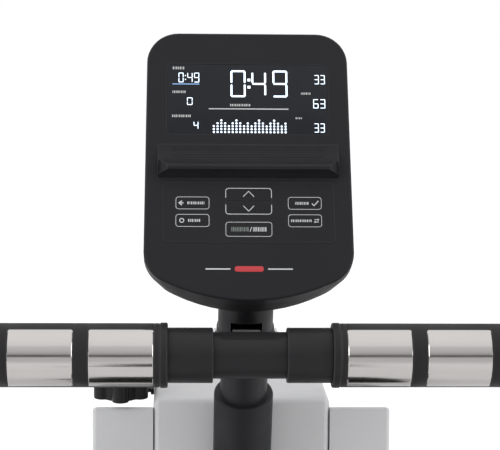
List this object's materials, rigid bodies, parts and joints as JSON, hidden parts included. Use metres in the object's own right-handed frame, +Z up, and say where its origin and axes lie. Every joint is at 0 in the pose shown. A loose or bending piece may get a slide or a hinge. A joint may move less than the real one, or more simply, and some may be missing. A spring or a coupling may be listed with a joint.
{
  "type": "rowing machine",
  "caption": "Folding magnetic rowing machine: leaned mast with display console and wide grip handlebar, grey flywheel housing, footplates, padded seat on a rail.",
  "frame": {"origin": "on the floor, under the middle of the machine's length and width", "axes": "+Y towards the flywheel, the user sits at -Y and faces +Y, +X to the user's right, +Z up"},
  "size_m": [0.5, 1.97, 0.8601],
  "materials": {
    "black_metal": "satin powder coat",
    "black_plastic": "fine moulded grain",
    "console_plastic": "fine satin grain",
    "grey_plastic": "satin silver grey",
    "lens": "glossy dark display window",
    "display": "dark display",
    "board": "solder mask",
    "rubber": "matt",
    "wheel_rubber": "matt",
    "steel": "bright zinc",
    "magnet": "nickel plated",
    "cast_iron": "painted",
    "chrome": "bright polished",
    "grip_foam": "soft matt grip",
    "sleeve_plastic": "satin",
    "knob_plastic": "satin",
    "pulley_plastic": "moulded",
    "aluminium": "satin anodised",
    "roller": "nylon",
    "seat_vinyl": "fine grain vinyl with stitched seam",
    "webbing": "woven nylon webbing"
  },
  "bodies": {
    "frame": {"main_frame": "black_metal", "front_stabilizer": "black_metal", "frame_feet": "rubber", "mast_tube": "black_metal", "mast_boot": "black_plastic", "neck_sleeve": "black_plastic", "handle_cradle": "black_metal", "center_shroud": "grey_plastic", "left_shroud": "grey_plastic", "right_shroud": "grey_plastic", "console_front": "console_plastic", "console_back": "console_plastic", "console_lens": "lens", "lcd_module": "display", "console_board": "board", "membrane_panel": "console_plastic", "fasteners": "steel", "drive_shaft": "steel", "drive_belt": "rubber", "servo_motor": "black_plastic", "hinge_pin": "steel", "footrest_axle": "steel", "knob_bracket": "black_plastic", "power_inlet": "black_plastic"},
    "guide_roller": {"guide_roller": "black_plastic"},
    "spool": {"strap_spool": "black_plastic"},
    "pulley": {"drive_pulley": "pulley_plastic"},
    "flywheel": {"flywheel": "cast_iron", "flywheel_shaft": "steel"},
    "brake": {"brake_arm": "steel", "brake_magnets": "magnet"},
    "key_recovery": {"key_recovery": "console_plastic"},
    "key_reset": {"key_reset": "console_plastic"},
    "key_up": {"key_up": "console_plastic"},
    "key_down": {"key_down": "console_plastic"},
    "key_start_stop": {"key_start_stop": "console_plastic"},
    "key_enter": {"key_enter": "console_plastic"},
    "key_display": {"key_display": "console_plastic"},
    "handle": {"handle_tube": "steel", "handle_hub": "sleeve_plastic", "handle_sleeves": "sleeve_plastic", "handle_grips": "grip_foam", "contact_plates": "chrome", "pull_strap": "webbing"},
    "rail": {"rail_beam": "aluminium", "rear_leg": "black_metal", "rear_feet": "rubber", "rail_bumpers": "rubber"},
    "seat": {"seat_pad": "seat_vinyl", "seat_base": "black_plastic", "seat_carriage": "black_metal"},
    "front_rollers": {"front_rollers": "roller"},
    "rear_rollers": {"rear_rollers": "roller"},
    "left_footrest": {"left_footplate": "black_plastic", "left_foot_strap": "webbing"},
    "right_footrest": {"right_footplate": "black_plastic", "right_foot_strap": "webbing"},
    "left_wheel": {"left_wheel": "wheel_rubber"},
    "right_wheel": {"right_wheel": "wheel_rubber"},
    "side_knob": {"side_knob": "knob_plastic"}
  },
  "joints": [
    {"name": "handle_pull", "type": "slide", "parent": "frame", "child": "handle", "axis": [0, -1, 0], "range_m": [0, 0.9], "stiffness_N_per_m": 20, "springref_m": -0.75, "deforming": ["pull_strap"]},
    {"name": "guide_roller_turn", "type": "hinge", "parent": "frame", "child": "guide_roller", "pos_m": [0, 0.4123, 0.59938], "axis": [1, 0, 0], "range_deg": [0, 4500]},
    {"name": "spool_turn", "type": "hinge", "parent": "frame", "child": "spool", "pos_m": [0, 0.59, 0.3], "axis": [1, 0, 0], "range_deg": [-1250, 0]},
    {"name": "flywheel_spin", "type": "hinge", "parent": "frame", "child": "flywheel", "pos_m": [0, 0.775, 0.325], "axis": [1, 0, 0], "continuous": true},
    {"name": "pulley_spin", "type": "hinge", "parent": "frame", "child": "pulley", "pos_m": [0.04, 0.59, 0.3], "axis": [1, 0, 0], "continuous": true},
    {"name": "brake_swing", "type": "hinge", "parent": "frame", "child": "brake", "pos_m": [-0.041, 0.622, 0.357], "axis": [1, 0, 0], "range_deg": [0, 6]},
    {"name": "press_recovery", "type": "slide", "parent": "frame", "child": "key_recovery", "axis": [0, 0.866, -0.5], "range_m": [0, 0.0006], "stiffness_N_per_m": 800, "springref_m": -0.0003},
    {"name": "press_reset", "type": "slide", "parent": "frame", "child": "key_reset", "axis": [0, 0.866, -0.5], "range_m": [0, 0.0006], "stiffness_N_per_m": 800, "springref_m": -0.0003},
    {"name": "press_up", "type": "slide", "parent": "frame", "child": "key_up", "axis": [0, 0.866, -0.5], "range_m": [0, 0.0006], "stiffness_N_per_m": 800, "springref_m": -0.0003},
    {"name": "press_down", "type": "slide", "parent": "frame", "child": "key_down", "axis": [0, 0.866, -0.5], "range_m": [0, 0.0006], "stiffness_N_per_m": 800, "springref_m": -0.0003},
    {"name": "press_start_stop", "type": "slide", "parent": "frame", "child": "key_start_stop", "axis": [0, 0.866, -0.5], "range_m": [0, 0.0006], "stiffness_N_per_m": 800, "springref_m": -0.0003},
    {"name": "press_enter", "type": "slide", "parent": "frame", "child": "key_enter", "axis": [0, 0.866, -0.5], "range_m": [0, 0.0006], "stiffness_N_per_m": 800, "springref_m": -0.0003},
    {"name": "press_display", "type": "slide", "parent": "frame", "child": "key_display", "axis": [0, 0.866, -0.5], "range_m": [0, 0.0006], "stiffness_N_per_m": 800, "springref_m": -0.0003},
    {"name": "rail_fold", "type": "hinge", "parent": "frame", "child": "rail", "pos_m": [0, 0.14, 0.3], "axis": [1, 0, 0], "range_deg": [-80, 0]},
    {"name": "seat_slide", "type": "slide", "parent": "rail", "child": "seat", "axis": [0, -1, 0], "range_m": [-0.23, 0.49]},
    {"name": "front_roller_turn", "type": "hinge", "parent": "seat", "child": "front_rollers", "pos_m": [0, -0.28, 0.3432], "axis": [1, 0, 0], "range_deg": [-800, 1650]},
    {"name": "rear_roller_turn", "type": "hinge", "parent": "seat", "child": "rear_rollers", "pos_m": [0, -0.42, 0.3432], "axis": [1, 0, 0], "range_deg": [-800, 1650]},
    {"name": "left_foot_tilt", "type": "hinge", "parent": "frame", "child": "left_footrest", "pos_m": [-0.103, 0.24, 0.222], "axis": [1, 0, 0], "range_deg": [-12, 12]},
    {"name": "right_foot_tilt", "type": "hinge", "parent": "frame", "child": "right_footrest", "pos_m": [0.103, 0.24, 0.222], "axis": [1, 0, 0], "range_deg": [-12, 12]},
    {"name": "left_wheel_spin", "type": "hinge", "parent": "frame", "child": "left_wheel", "pos_m": [-0.15, 0.959, 0.032], "axis": [1, 0, 0], "continuous": true},
    {"name": "right_wheel_spin", "type": "hinge", "parent": "frame", "child": "right_wheel", "pos_m": [0.15, 0.959, 0.032], "axis": [1, 0, 0], "continuous": true},
    {"name": "knob_turn", "type": "hinge", "parent": "frame", "child": "side_knob", "pos_m": [-0.1115, 0.497, 0.53], "axis": [0, 0, 1], "range_deg": [0, 720]}
  ],
  "couplings": [
    {"joint": "guide_roller_turn", "follows": "handle_pull", "rad_per_m": 85.1},
    {"joint": "spool_turn", "follows": "handle_pull", "rad_per_m": -22.5},
    {"joint": "pulley_spin", "follows": "flywheel_spin", "ratio": 0.2369},
    {"joint": "front_roller_turn", "follows": "seat_slide", "rad_per_m": 55.56},
    {"joint": "rear_roller_turn", "follows": "seat_slide", "rad_per_m": 55.56}
  ]
}
